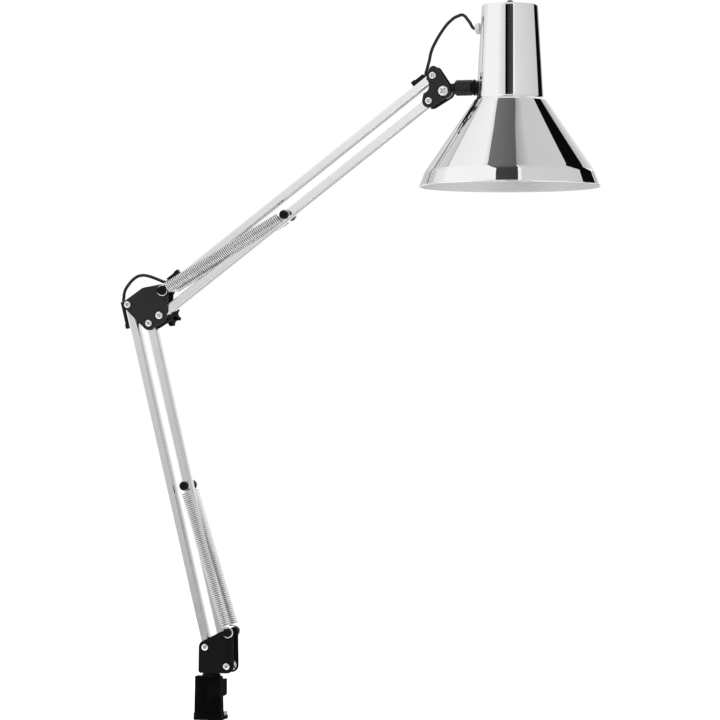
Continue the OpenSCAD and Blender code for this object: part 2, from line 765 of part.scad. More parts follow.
module elbow_front_plate() {
    elbow_plate(-plate_in);
}

module elbow_rear_plate() {
    elbow_plate(plate_out);
}

module elbow_sleeves() {
    color(steel) for (p = [elbow_left, elbow_right, elbow_main, elbow_top]) sleeve(p);
}

module elbow_screws() {
    color(steel) for (p = [elbow_left, elbow_right])
        pivot_screw(p, screw_d, screw_head_d, screw_head_h, nut_h + thread_past_nut);
}

module elbow_nuts() {
    color(steel) for (p = [elbow_left, elbow_right]) pivot_nut(p, nut_corner_d, screw_d, nut_h);
}

module elbow_washers() {
    color(nylon) {
        for (p = [elbow_left, elbow_right, elbow_main, elbow_top]) washers(p);
        facing_back(elbow_main) translate([0, 0, plate_out]) difference() {
            cylinder(d = washer_d, h = knob_washer_t);
            translate([0, 0, -1]) cylinder(d = screw_d + 2 * hole_gap, h = knob_washer_t + 2);
        }
    }
}

module elbow_spring_pin() {
    color(gloss_black) spring_pin(elbow_top, screw_d, plate_out);
}

// Bolt of the upper arm's main pivot, which the knob behind tightens
module elbow_bolt() {
    color(steel) pivot_screw(elbow_main, screw_d, main_head_d, screw_head_h, knob_end_y - 8 - plate_out);
}

module elbow_cord_loop() {
    first = [for (a = [joint_gap, lead_in])
        on_bar(elbow_left, lower_dir, lower_out, lower_guide_to + a, cord_out)];
    last = [for (a = [lead_in, joint_gap])
        on_bar(elbow_top, upper_dir, upper_out, -upper_guide_to - a, cord_out)];
    color(gloss_black) tube(concat(first, [for (q = elbow_loop) at_xz(elbow_left, q)], last),
        cord_r, 8, [1, 0, 0]);
}

module elbow_knob() {
    color(gloss_black) facing_back(elbow_main) difference() {
        union() {
            translate([0, 0, knob_y]) cylinder(d = knob_hub_d, h = knob_hub_len + 1);
            translate([0, 0, knob_y + knob_hub_len]) linear_extrude(knob_star_t) difference() {
                circle(d = knob_d);
                for (i = [0 : knob_lobes - 1])
                    rotate(knob_turn + 360 * (i + 0.5) / knob_lobes)
                        translate([knob_d / 2 + 1.2, 0]) circle(r = flute_r);
            }
        }
        translate([0, 0, knob_y - 1]) cylinder(d = insert_d, h = insert_len + 1);
        translate([0, 0, knob_y]) cylinder(d = screw_d + 2 * run_gap, h = knob_end_y - 7 - knob_y);
    }
}

module knob_insert() {
    color(brass) facing_back(elbow_main) translate([0, 0, knob_y]) difference() {
        cylinder(d = insert_d, h = insert_len);
        translate([0, 0, -1]) cylinder(d = screw_d + 2 * run_gap, h = insert_len + 2);
    }
}

module upper_top_bar() {
    color(chrome) bar(elbow_top, upper_lean, upper_len, run_gap, loose_gap,
        [[-slot_to, -slot_from], [upper_len + slot_from, upper_len + slot_to]], 0);
}

module upper_cord_guides() {
    color(gloss_black) translate(elbow_top) rotate([0, upper_lean, 0]) {
        cord_guide(-upper_guide_to, -guide_from, -guide_from - 2.5,
            -upper_guide_to - guide_tail, -guide_from);
        translate([0, 0, upper_len])
            cord_guide(guide_from, upper_guide_to, guide_from + 2.5, guide_from,
                upper_guide_to + guide_tail);
    }
}

// Cord along the inside of the top bar, from its guide at the elbow to its guide at the head
module upper_cord() {
    in_run = concat([[-upper_guide_to, cord_out]], [for (q = dive_out) [-q[0], q[1]]]);
    out_run = concat([for (q = reversed(dive_out)) [upper_len + q[0], q[1]]],
        [[upper_len + upper_guide_to, cord_out]]);
    color(gloss_black) tube([for (q = concat(in_run, out_run))
        on_bar(elbow_top, upper_dir, upper_out, q[0], q[1])], cord_r, 8, [0, 1, 0]);
}

module upper_bottom_bar() {
    color(chrome) bar(elbow_main, upper_lean, upper_len, run_gap, run_gap, [], upper_pin_at);
}

module upper_spring_pin() {
    color(gloss_black) spring_pin(upper_pin_pos, screw_d, bar_d / 2);
}

module upper_front_spring() {
    color(steel) spring(elbow_top, upper_pin_pos, -spring_y);
}

module upper_rear_spring() {
    color(steel) spring(elbow_top, upper_pin_pos, spring_y);
}

module head_outline() {
    difference() {
        hull() {
            disc_at(head_top + [0.5, 0, 5.2], 5);
            disc_at(head_top, 6.4);
            disc_at(tilt_pivot, 8);
            disc_at(head_low, 7.3);
        }
        disc_at(head_low + [-8.3, 0, 16.2], 8.6);
    }
}

module head_plate(y) {
    color(satin_black) difference() {
        translate([0, y, 0]) rotate([90, 0, 0]) linear_extrude(plate_t) head_outline();
        for (p = [head_low, head_top])
            facing_front(p) cylinder(d = screw_d + 2 * hole_gap, h = 2 * plate_out + 2, center = true);
        facing_front(tilt_pivot) cylinder(d = tilt_d + 2 * hole_gap, h = 2 * plate_out + 2, center = true);
    }
}

module head_front_plate() {
    head_plate(-plate_in);
}

module head_rear_plate() {
    head_plate(plate_out);
}

module head_sleeves() {
    color(steel) for (p = [head_low, head_top]) sleeve(p);
}

module head_screws() {
    color(steel) for (p = [head_low, head_top])
        pivot_screw(p, screw_d, screw_head_d, screw_head_h, nut_h + thread_past_nut);
}

module head_nuts() {
    color(steel) {
        for (p = [head_low, head_top]) pivot_nut(p, nut_corner_d, screw_d, nut_h);
        pivot_nut(tilt_pivot, tilt_nut_d, tilt_d, nut_h + 0.8);
    }
}

module head_washers() {
    color(nylon) {
        for (p = [head_low, head_top]) washers(p);
        for (s = [-1, 1])
            facing_front(tilt_pivot) translate([0, 0, s * (plate_in - tilt_washer_t / 2)]) difference() {
                cylinder(d = tilt_washer_d, h = tilt_washer_t, center = true);
                cylinder(d = tilt_d + 2 * hole_gap, h = tilt_washer_t + 1, center = true);
            }
    }
}

module head_pivot_screw() {
    color(steel) pivot_screw(tilt_pivot, tilt_d, tilt_head_d, tilt_head_h, nut_h + 0.8 + thread_past_nut);
}

module head_cord_loop() {
    first = [for (a = [joint_gap, lead_in])
        on_bar(head_top, upper_dir, upper_out, upper_guide_to + a, cord_out)];
    last = [shade_x - bushing_r - 7, 0, bushing_z + 0.2];
    color(gloss_black) tube(concat(first, [for (q = head_loop) at_xz(head_top, q)], [last]),
        cord_r, 8, [1, 0, 0]);
}

// Moulded knuckle: a tongue that tilts between the head plates, and a barrel that the shade turns in
module knuckle() {
    neck_h = 9;
    chamfer = 1.8;
    stud_len = 14;
    color(gloss_black) difference() {
        union() {
            facing_front(tilt_pivot) cylinder(d = tongue_d, h = tongue_t, center = true);
            translate([tilt_pivot.x + 2, -tongue_t / 2, barrel_z - neck_h / 2])
                cube([barrel_at, tongue_t, neck_h]);
            facing_right(barrel_x, barrel_z) rotate_extrude() polygon([[0, 0], [barrel_d / 2 - chamfer, 0],
                [barrel_d / 2, chamfer], [barrel_d / 2, barrel_len - 0.6], [barrel_d / 2 - 0.6, barrel_len],
                [0, barrel_len]]);
        }
        facing_front(tilt_pivot) cylinder(d = tilt_d + 2 * run_gap, h = tongue_t + 2, center = true);
        facing_right(barrel_end - stud_len, barrel_z) cylinder(d = stud_d + 2 * run_gap, h = stud_len + 1);
    }
}

// Profile of the shade's sheet, as radius and height above the barrel's axis
function shade_outer() = [
    [neck_top_r - 2, neck_up], [neck_top_r - 0.6, neck_up - 0.5], [neck_top_r, neck_up - 1.8],
    [neck_foot_r - 0.1, -neck_down + 2.4], [neck_foot_r + 0.5, -neck_down + 0.5],
    [neck_foot_r + 1.6, -neck_down - 1.6], [cone_r - 0.8, -cone_down + 1.2],
    [cone_r + 0.6, -cone_down - 1.2], [rim_r - 0.9, -rim_down + 0.8]
];

module shade() {
    outer = shade_outer();
    inner = [for (q = reversed(outer)) [q[0] - 1.1 * shade_t, q[1] - 0.35 * shade_t]];
    color(chrome) difference() {
        translate([shade_x, 0, barrel_z]) {
            rotate_extrude($fn = 96) polygon(concat([[0, neck_up]], outer, inner,
                [[neck_top_r - 3, neck_up - shade_t], [0, neck_up - shade_t]]));
            rotate_extrude($fn = 96) translate([rim_r - bead_d / 2, -rim_down + bead_d / 2])
                circle(d = bead_d);
        }
        translate([shade_x, 0, top_z - 5]) cylinder(d = switch_neck_d + 2 * hole_gap, h = 10);
        facing_right(shade_x - neck_foot_r - 2, barrel_z) cylinder(d = stud_d + 2 * hole_gap, h = 12);
        facing_right(shade_x - neck_foot_r - 2, bushing_z) cylinder(d = bushing_hole, h = 16);
    }
}

// Hollow stud with a flange, which carries the shade in the knuckle's barrel
module swivel_stud() {
    reach = 13.5;
    wall_x = shade_x - neck_r_at_barrel;
    color(gloss_black) difference() {
        union() {
            facing_right(flange_x - reach, barrel_z) cylinder(d = stud_d, h = reach);
            facing_right(flange_x, barrel_z) rotate_extrude() polygon([[0, 0], [flange_r - 0.8, 0],
                [flange_r, flange_t / 2], [flange_r - 0.8, flange_t], [0, flange_t]]);
            facing_right(flange_x, barrel_z)
                cylinder(d = stud_d, h = wall_x - flange_x + stud_nut_t + 3);
        }
        facing_right(flange_x - reach - 1, barrel_z) cylinder(d = 5, h = reach + 30);
    }
}

// Collar shaped to the neck, between the flange and the shade
module shade_saddle() {
    r0 = neck_foot_r + 0.1;
    r1 = neck_top_r + 0.1;
    start = flange_x + flange_t;
    color(rubber) difference() {
        facing_right(start, barrel_z) cylinder(d = 13.5, h = 6);
        facing_right(start - 1, barrel_z) cylinder(d = stud_d + 2 * hole_gap, h = 9);
        translate([shade_x, 0, barrel_z - neck_down])
            cylinder(r1 = r0, r2 = r1, h = neck_up + neck_down, $fn = 96);
    }
}

// Strain relief of the cord in the neck
module cord_bushing() {
    x0 = shade_x - bushing_r - 6;
    bore = cord_d + 0.3;
    seat = 6.2;
    color([0.5, 0.5, 0.5, 0.85]) facing_right(x0, bushing_z) rotate_extrude()
        polygon([[bore / 2, 0], [bushing_d / 2 - 1.6, 0], [bushing_d / 2, 1.4], [bushing_d / 2, 4.6],
            [bushing_hole / 2 - 0.1, seat - 0.4], [bushing_hole / 2 - 0.1, seat + 3.2],
            [bore / 2, seat + 3.2]]);
}

module shade_cord() {
    x0 = shade_x - bushing_r - 6.2;
    start = [x0, 0, bushing_z];
    last = [shade_x - switch_d / 2 - 0.4, 0, bushing_z + 8.6];
    color(gloss_black) tube(concat([start], [for (q = shade_run) at_xz(start, q)], [last]),
        cord_r, 8, [0, 1, 0]);
}

// Steel strap that hangs the lampholder below the switch
module holder_strap() {
    color(steel) difference() {
        translate([shade_x - strap_w / 2, -strap_d / 2, strap_foot]) cube([strap_w, strap_d, strap_h]);
        translate([shade_x - strap_w / 2 + strap_t, -strap_d / 2 - 1, strap_foot + strap_t])
            cube([strap_w - 2 * strap_t, strap_d + 2, strap_h - 2 * strap_t]);
        translate([shade_x, 0, strap_top - strap_t - 1])
            cylinder(d = switch_neck_d + 2 * hole_gap, h = strap_t + 2);
        translate([shade_x, 0, strap_foot - 1]) cylinder(d = nipple_d + 2 * hole_gap, h = strap_t + 2);
        // Way for the cord through the side of the strap
        translate([shade_x - strap_w / 2 - 1, -3, bushing_z - 3]) cube([strap_t + 2, 6, 11]);
    }
}

module lampholder() {
    r = holder_d / 2;
    color([0.12, 0.12, 0.12]) translate([shade_x, 0, holder_foot]) difference() {
        rotate_extrude() polygon([[0, 0], [r, 0], [r, 7], [r - 1.5, 8], [r - 1.5, holder_len - shoulder_z],
            [r - 3, holder_len - 6], [r - 8, holder_len - 1], [nipple_d / 2, holder_len],
            [nipple_d / 2, holder_len + strap_t + 5], [0, holder_len + strap_t + 5]]);
        translate([0, 0, -1]) cylinder(d = holder_bore, h = holder_len - shoulder_z + 2);
    }
}

// Nuts of the lampholder's nipple, of the shade's stud and of the switch
module shade_nuts() {
    wall_x = shade_x - neck_r_at_barrel;
    seat_x = wall_x + 1.1 * shade_t + 1.2;
    color(steel) {
        translate([shade_x, 0, strap_foot + strap_t]) difference() {
            cylinder(d = nipple_nut_d, h = strap_t * 2, $fn = 6);
            translate([0, 0, -1]) cylinder(d = nipple_d + 2 * hole_gap, h = strap_t * 2 + 2);
        }
        facing_right(seat_x, barrel_z) difference() {
            cylinder(d = stud_nut_d, h = stud_nut_t, $fn = 6);
            translate([0, 0, -1]) cylinder(d = stud_d + 2 * hole_gap, h = stud_nut_t + 2);
        }
        translate([shade_x, 0, top_z]) difference() {
            cylinder(d = switch_neck_d * 1.26, h = ring_t);
            translate([0, 0, -1]) cylinder(d = switch_neck_d + 2 * hole_gap, h = ring_t + 2);
        }
    }
}

module bulb_cap() {
    r = holder_bore / 2 - cap_gap;
    color(steel) translate([shade_x, 0, cap_top - cap_len]) difference() {
        rotate_extrude() polygon([[0, 0], [r, 0], [r, cap_len - 4], [r - 4, cap_len - 1.5],
            [r * 0.35, cap_len], [0, cap_len]]);
        translate([0, 0, -1]) cylinder(r = r - 1, h = cap_len - 6);
    }
}

// Pear-shaped glass: a ball, a flank and a neck that sits in the cap
function bulb_profile(t) =
    let (r = bulb_d / 2 - t, neck = holder_bore / 2 - cap_gap - 1.3 - t, zc = -bulb_len + bulb_d / 2)
    concat(
        [for (a = [-90 : 10 : 30]) [r * cos(a), zc + r * sin(a)]],
        [for (s = [1 : 5]) let (z0 = zc + r * sin(30), z1 = -8, f = s / 6, e = f * f * (3 - 2 * f))
            [r * cos(30) * (1 - e) + neck * e, z0 + (z1 - z0) * f]],
        [[neck, -6], [neck, 2]]
    );

module bulb_glass() {
    color([0.95, 0.95, 0.93]) translate([shade_x, 0, cap_top - cap_len])
        rotate_extrude() polygon(concat(bulb_profile(0), reversed(bulb_profile(0.9))));
}

module switch_body() {
    color([0.12, 0.12, 0.12]) translate([shade_x, 0, 0]) difference() {
        union() {
            translate([0, 0, strap_top - strap_t - switch_h]) cylinder(d = switch_d, h = switch_h - 0.1);
            translate([0, 0, strap_top - strap_t - 1])
                cylinder(d = switch_neck_d, h = top_z + ring_t + 0.2 - strap_top + strap_t + 1);
        }
        translate([0, 0, top_z - 2 * button_travel - 3])
            cylinder(d = button_d + 2 * run_gap, h = 2 * button_travel + 7);
    }
}

module switch_button() {
    foot = -button_travel - 2.5;
    r = button_d / 2;
    color(gloss_black) translate([shade_x, 0, top_z]) rotate_extrude()
        polygon([[0, foot], [r, foot], [r, button_rise - 2], [r * 0.87, button_rise - 1],
            [r * 0.55, button_rise - 0.3], [0, button_rise]]);
}

echo("Least gap of a lower spring to itself",
    self_gap(spring_points(norm(lower_pin_pos - stud_at)), 5, wire_d));
echo("Least gap of an upper spring to itself",
    self_gap(spring_points(norm(upper_pin_pos - elbow_top)), 5, wire_d));

clamp_body();
swivel_bush();
jaw_pad();
pressure_plate();
clamp_screw();
clamp_handle();
base_bracket();
base_spigot();
base_sleeves();
base_screws();
base_nuts();
base_washers();
base_spring_studs();
lower_left_bar();
lower_cord_guide();
cord_inlet_bush();
lower_cord();
lower_right_bar();
lower_spring_pin();
lower_front_spring();
lower_rear_spring();
elbow_front_plate();
elbow_rear_plate();
elbow_sleeves();
elbow_screws();
elbow_nuts();
elbow_washers();
elbow_spring_pin();
elbow_bolt();
elbow_cord_loop();
elbow_knob();
knob_insert();
upper_top_bar();
upper_cord_guides();
upper_cord();
upper_bottom_bar();
upper_spring_pin();
upper_front_spring();
upper_rear_spring();
head_front_plate();
head_rear_plate();
head_sleeves();
head_screws();
head_nuts();
head_washers();
head_pivot_screw();
head_cord_loop();
knuckle();
shade();
swivel_stud();
shade_saddle();
cord_bushing();
shade_cord();
holder_strap();
lampholder();
shade_nuts();
bulb_cap();
bulb_glass();
switch_body();
switch_button();
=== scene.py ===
import math

import bmesh
import bpy
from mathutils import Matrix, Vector


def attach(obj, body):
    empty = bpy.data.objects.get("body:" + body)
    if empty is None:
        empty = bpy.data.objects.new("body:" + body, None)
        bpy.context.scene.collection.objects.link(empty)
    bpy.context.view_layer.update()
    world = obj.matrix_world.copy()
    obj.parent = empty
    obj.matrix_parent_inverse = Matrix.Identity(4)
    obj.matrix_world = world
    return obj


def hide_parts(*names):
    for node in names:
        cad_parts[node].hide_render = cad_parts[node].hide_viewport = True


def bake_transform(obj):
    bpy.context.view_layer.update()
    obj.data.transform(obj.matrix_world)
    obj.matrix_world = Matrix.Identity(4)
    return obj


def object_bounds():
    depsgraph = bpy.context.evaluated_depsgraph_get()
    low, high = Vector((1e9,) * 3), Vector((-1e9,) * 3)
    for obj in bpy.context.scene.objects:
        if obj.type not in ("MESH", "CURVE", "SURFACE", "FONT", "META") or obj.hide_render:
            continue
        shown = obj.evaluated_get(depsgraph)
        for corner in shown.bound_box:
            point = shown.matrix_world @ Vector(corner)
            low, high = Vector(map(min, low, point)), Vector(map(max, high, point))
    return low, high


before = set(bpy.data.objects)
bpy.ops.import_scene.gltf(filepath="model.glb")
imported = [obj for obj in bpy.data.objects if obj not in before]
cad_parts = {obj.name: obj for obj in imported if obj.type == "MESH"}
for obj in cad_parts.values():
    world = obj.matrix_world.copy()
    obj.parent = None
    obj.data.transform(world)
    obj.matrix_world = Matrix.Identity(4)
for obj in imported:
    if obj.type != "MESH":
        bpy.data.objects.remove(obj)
solids_box = [list(corner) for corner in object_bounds()]

# The camera stands level, 3.4 m away and 15 degrees round to the right, with a long lens, as the
# photograph's two pairs of bars and its shade show. The frame is lifted a little instead of tilted.
view_azimuth = math.radians(15)
camera_distance, camera_aside, camera_height = 3.4236, 0.1605, 0.34114
frame_pixels, pixels_at_one_metre, lift_pixels = 720, 3170, 20
towards_camera = Vector((math.sin(view_azimuth), -math.cos(view_azimuth), 0))
camera_right = Vector((math.cos(view_azimuth), math.sin(view_azimuth), 0))
camera = bpy.data.objects.new("photo_camera", bpy.data.cameras.new("photo_camera"))
bpy.context.scene.collection.objects.link(camera)
camera.location = camera_distance * towards_camera + camera_aside * camera_right + Vector((0, 0, camera_height))
camera.rotation_euler = (math.radians(90), 0, view_azimuth)
camera.data.sensor_width = 36
camera.data.lens = camera.data.sensor_width * pixels_at_one_metre / frame_pixels
camera.data.shift_y = lift_pixels / frame_pixels
camera.data.clip_end = 60
bpy.context.scene.camera = camera


# The cord is a 3.4 mm round lead with a satin black sheath. It runs inside one bar of each arm, comes out
# at a guide on the bar's end, and stands in a loop over the elbow and another over the head. There it
# goes into the shade through a bushing.
class Finish:
    """A value on its way through a finish's nodes, so that masks are written as sums and products."""

    def __init__(self, socket):
        self.socket = socket

    def node(self, kind, settings=None, inputs=None, out=0):
        tree = self.socket.id_data
        made = tree.nodes.new("ShaderNode" + kind)
        for name, value in (settings or {}).items():
            if name == "stops":
                ramp = made.color_ramp.elements
                while len(ramp) < len(value):
                    ramp.new(0.5)
                for element, (at, tone) in zip(ramp, value):
                    element.position = at
                    element.color = (tone, tone, tone, 1) if isinstance(tone, (int, float)) else (*tone, 1)
            else:
                setattr(made, name, value)
        for name, value in (inputs or {}).items():
            if isinstance(value, Finish):
                tree.links.new(value.socket, made.inputs[name])
            else:
                made.inputs[name].default_value = value
        return Finish(made.outputs[out]) if made.outputs else None

    def math(self, operation, first, second=0.0):
        return self.node("Math", {"operation": operation}, {0: first, 1: second})

    def __add__(self, other):
        return self.math("ADD", self, other)

    def __radd__(self, other):
        return self.math("ADD", other, self)

    def __sub__(self, other):
        return self.math("SUBTRACT", self, other)

    def __rsub__(self, other):
        return self.math("SUBTRACT", other, self)

    def __mul__(self, other):
        return self.math("MULTIPLY", self, other)

    def __rmul__(self, other):
        return self.math("MULTIPLY", other, self)

    def ramp(self, *stops):
        return self.node("ValToRGB", {"stops": stops}, {"Fac": self})

    def noise(self, scale, detail=2.0, stretch=None):
        """Cloudy variation over the surface, with scale in cycles a metre."""
        place = self
        if stretch:
            place = self.node("Mapping", {}, {"Vector": self, "Scale": stretch})
        return place.node("TexNoise", {}, {"Vector": place, "Scale": scale, "Detail": detail})

    def axis(self, name):
        return self.node("SeparateXYZ", {}, {"Vector": self}, out=name)

    def mix(self, mask, first, second):
        """One colour where the mask is 0 and another where it is 1, each plain or on its way through nodes."""
        colours = [colour if isinstance(colour, Finish) else (*colour, 1) for colour in (first, second)]
        return self.node("Mix", {"data_type": "RGBA"}, {0: mask, 6: colours[0], 7: colours[1]}, out=2)


def new_finish(name):
    """A new material, and the place on the surface that its nodes start from."""
    material = bpy.data.materials.new(name)
    material.use_nodes = True
    material.node_tree.nodes.clear()
    coordinates = material.node_tree.nodes.new("ShaderNodeTexCoord")
    return material, Finish(coordinates.outputs["Object"])


def coat_with(place, height=None, depth=0.0, edge=0.0, **sockets):
    """Ends a finish in its surface shader, with a relief that is depth metres deep and softened edges."""
    inputs = {name.replace("_", " "): value for name, value in sockets.items()}
    normal = None
    if edge:
        normal = place.node("Bevel", {"samples": 4}, {"Radius": edge})
    if height is not None:
        relief = {"Height": height, "Distance": depth, "Strength": 1.0}
        if normal:
            relief["Normal"] = normal
        normal = place.node("Bump", {}, relief)
    if normal:
        inputs["Normal"] = normal
    surface = place.node("BsdfPrincipled", {}, inputs)
    surface.node("OutputMaterial", {}, {"Surface": surface})


def cord_along(name, points, radius, sides=12, smooth=6):
    """A round tube through chosen points, with a smooth curve between them."""
    route = [Vector(p) for p in points]
    ends = [2 * route[0] - route[1]] + route + [2 * route[-1] - route[-2]]
    path = []
    for i in range(1, len(ends) - 2):
        a, b, c, d = ends[i - 1 : i + 3]
        for k in range(smooth):
            t = k / smooth
            path.append(0.5 * (
                2 * b + (c - a) * t + (2 * a - 5 * b + 4 * c - d) * t * t + (3 * b - a - 3 * c + d) * t**3
            ))
    path.append(route[-1])
    return tube_along(name, path, radius, sides)


def tube_along(name, path, radius, sides):
    """A round tube whose rings stand square to the path."""
    made = bmesh.new()
    rings = []
    side = None
    for i, point in enumerate(path):
        ahead = (path[min(i + 1, len(path) - 1)] - path[max(i - 1, 0)]).normalized()
        if side is None:
            side = ahead.orthogonal()
        side = (side - side.dot(ahead) * ahead).normalized()
        up = ahead.cross(side)
        rings.append(
            [
                made.verts.new(point + radius * (math.cos(a) * side + math.sin(a) * up))
                for a in (2 * math.pi * k / sides for k in range(sides))
            ]
        )
    for one, two in zip(rings, rings[1:]):
        for k in range(sides):
            made.faces.new((one[k], one[(k + 1) % sides], two[(k + 1) % sides], two[k]))
    made.faces.new(rings[0][::-1])
    made.faces.new(rings[-1])
    return mesh_piece(name, made)


def mesh_piece(name, made, smooth_below=40):
    """Puts a finished mesh into the scene, smooth across edges flatter than an angle in degrees."""
    bmesh.ops.recalc_face_normals(made, faces=made.faces)
    for edge in made.edges:
        edge.smooth = len(edge.link_faces) == 2 and edge.calc_face_angle(0) < math.radians(smooth_below)
    for face in made.faces:
        face.smooth = True
    mesh = bpy.data.meshes.new(name)
    made.to_mesh(mesh)
    made.free()
    piece = bpy.data.objects.new(name, mesh)
    bpy.context.scene.collection.objects.link(piece)
    return piece


def leaning(angle):
    """The direction that leans from upright towards the shade, by an angle in degrees."""
    return Vector((math.sin(math.radians(angle)), 0, math.cos(math.radians(angle))))


lower_length, upper_length, bar_width = 0.38, 0.375, 0.0089
lower_lean, upper_lean = -13.4, 53.1
lower_along, upper_along = leaning(lower_lean), leaning(upper_lean)
lower_out, upper_out = leaning(lower_lean - 90), leaning(upper_lean - 90)
base_left, base_right = Vector((-0.004, 0, 0.0533)), Vector((0.0202, 0, 0.033))
elbow_left = base_left + lower_length * lower_along
elbow_right = base_right + lower_length * lower_along
elbow_main = elbow_right + Vector((0.012, 0, 0.0085))
elbow_top = elbow_main + Vector((0.0044, 0, 0.0267))
head_low = elbow_main + upper_length * upper_along
head_top = elbow_top + upper_length * upper_along
tilt_pivot = head_low + Vector((0.0159, 0, 0.0101))
barrel_z = tilt_pivot.z + 0.0036
shade_x = tilt_pivot.x + 0.0699

cord_radius, guide_floor = 0.0017, 0.0007
cord_out = bar_width / 2 + guide_floor + cord_radius
dive = [(0.014, cord_out), (0.017, 0.0058), (0.020, 0.0038), (0.023, 0.0022), (0.026, 0.0015)]


def by_bar(pivot, along, out, distance, offset):
    """A place at a distance along a bar from a pivot, and at an offset from its middle line."""
    return pivot + distance * along + offset * out


lower_route = [
    by_bar(base_left, lower_along, lower_out, a, o) + Vector((0, y, 0))
    for a, o, y in ((0.042, 0, 0.009), (0.042, 0, 0.005), (0.0445, 0.0004, 0.0022), (0.049, 0.001, 0.0007))
]
lower_route += [
    by_bar(base_left, lower_along, lower_out, lower_length - a, o) for a, o in [(0.324, 0.0015)] + dive[::-1]
]
lower_route += [by_bar(elbow_left, lower_along, lower_out, a, cord_out) for a in (-0.006, 0.005)]
elbow_route = [by_bar(elbow_left, lower_along, lower_out, a, cord_out) for a in (0.005, 0.007)]
elbow_route += [
    elbow_left + Vector((x / 1000, 0, z / 1000))
    for x, z in (
        (-7.8, 7), (-7.5, 11), (-5.9, 16.5), (-2.2, 22), (3, 27.5), (8.8, 31), (14.7, 32),
        (20.5, 31), (27.5, 28.7), (33, 26.6), (38, 24.6),
    )
]
elbow_route += [by_bar(elbow_top, upper_along, upper_out, a, cord_out) for a in (0.007, 0.009)]
upper_route = [by_bar(elbow_top, upper_along, upper_out, a, o) for a, o in [(0.009, cord_out)] + dive]
upper_route += [by_bar(head_top, upper_along, upper_out, -a, o) for a, o in dive[::-1] + [(0.009, cord_out)]]
head_route = [by_bar(head_top, upper_along, upper_out, a, cord_out) for a in (-0.009, -0.007)]
head_route += [
    head_top + Vector((x / 1000, 0, z / 1000))
    for x, z in (
        (-10, 3.4), (-8.6, 8), (-7.4, 12.5), (-6.1, 17), (-4.1, 26), (-0.3, 34.6), (5.8, 44.8), (13.5, 55),
        (21.1, 61.5), (28.7, 64.2), (32.5, 62.7), (35.1, 59.5), (38.1, 55.5), (39.8, 52.3), (41.5, 50.1),
    )
]
bushing_z = barrel_z + 0.0622
neck_radius_there, bushing_reach = 0.03121, 0.006
bushing_x = shade_x - neck_radius_there - bushing_reach
head_route += [Vector((bushing_x - 0.001, 0, bushing_z + 0.0002)), Vector((bushing_x + 0.002, 0, bushing_z))]
shade_route = [Vector((bushing_x - 0.0002 + x / 1000, 0, bushing_z + z / 1000)) for x, z in (
    (0, 0), (5, 0), (9.8, 0), (13, 1), (16, 3.6), (19, 6.4), (23, 8.2), (26.9, 8.6))]

sheath, place = new_finish("cord_sheath")
grime = place.noise(90, 3)
coat_with(
    place,
    height=place.noise(2600, 2),
    depth=0.00002,
    Base_Color=place.mix(grime.ramp((0.42, 0), (0.7, 1)), (0.006, 0.006, 0.0065), (0.014, 0.014, 0.015)),
    Roughness=0.34 + 0.14 * grime,
    Specular_IOR_Level=0.3,
)


def lay_cord(name, route, body=None, stands_for=None):
    """A length of the cord that rides on one body, or is baked where it lies when no body is given."""
    piece = cord_along(name, route, cord_radius)
    piece.data.materials.append(sheath)
    if body:
        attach(piece, body)
    else:
        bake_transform(piece)
    if stands_for:
        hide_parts(stands_for)


lay_cord("cord_in_lower_bar", lower_route, body="lower_arm", stands_for="lower_cord")
lay_cord("cord_over_elbow_left", elbow_route[:9], stands_for="elbow_cord_loop")
lay_cord("cord_over_elbow_right", elbow_route[8:])
lay_cord("cord_in_upper_bar", upper_route, body="upper_link", stands_for="upper_cord")
lay_cord("cord_from_upper_guide", head_route[:6], body="head", stands_for="head_cord_loop")
lay_cord("cord_over_head", head_route[5:11])
lay_cord("cord_to_bushing", head_route[10:])
lay_cord("cord_in_shade", shade_route, body="shade", stands_for="shade_cord")

# The lamp stands in a white studio, on a white floor. Cards round it, which show only in reflections,
# give the chrome its bands, as a studio's black, grey and white cards do.
world = bpy.data.worlds.new("studio")
bpy.context.scene.world = world
world.use_nodes = True
world.node_tree.nodes["Background"].inputs["Color"].default_value = (1, 1, 1, 1)
world.node_tree.nodes["Background"].inputs["Strength"].default_value = 1.02
bpy.context.scene.view_settings.view_transform = "Standard"

floor_paint, place = new_finish("studio_floor")
coat_with(place, Base_Color=place.mix(place.noise(3), (0.93, 0.93, 0.93), (0.95, 0.95, 0.95)), Roughness=0.9,
          Specular_IOR_Level=0.1, Emission_Color=(1, 1, 1, 1), Emission_Strength=0.14)
made = bmesh.new()
bmesh.ops.create_circle(made, cap_ends=True, segments=64, radius=40)
floor = mesh_piece("studio_floor", made)
floor.location.z = solids_box[0][2] - 0.0005
floor.data.materials.append(floor_paint)


card_columns, card_glow, card_black = 13, 1.15, 0.003


def studio_card(name, rows, tones):
    """A glowing card through rows of places, of one tone or a tone for each place, for reflections only."""
    if not isinstance(tones, list):
        tones = [[tones] * len(row) for row in rows]
    made = bmesh.new()
    tone_layer = made.verts.layers.float.new("tone")
    grid = []
    for row, row_tones in zip(rows, tones):
        grid.append([])
        for point, tone in zip(row, row_tones):
            corner = made.verts.new(point)
            corner[tone_layer] = tone
            grid[-1].append(corner)
    for one, two in zip(grid, grid[1:]):
        for k in range(len(one) - 1):
            made.faces.new((one[k], two[k], two[k + 1], one[k + 1]))
    card = mesh_piece(name, made)
    paint, place = new_finish(name)
    tone = place.node("Attribute", {"attribute_name": "tone"}, {}, out="Fac")
    glow = place.node("Emission", {}, {"Color": tone.ramp((0, 0), (1, 1)), "Strength": card_glow})
    glow.node("OutputMaterial", {}, {"Surface": glow})
    card.data.materials.append(paint)
    card.visible_camera = card.visible_diffuse = card.visible_shadow = False
    card.visible_transmission = False


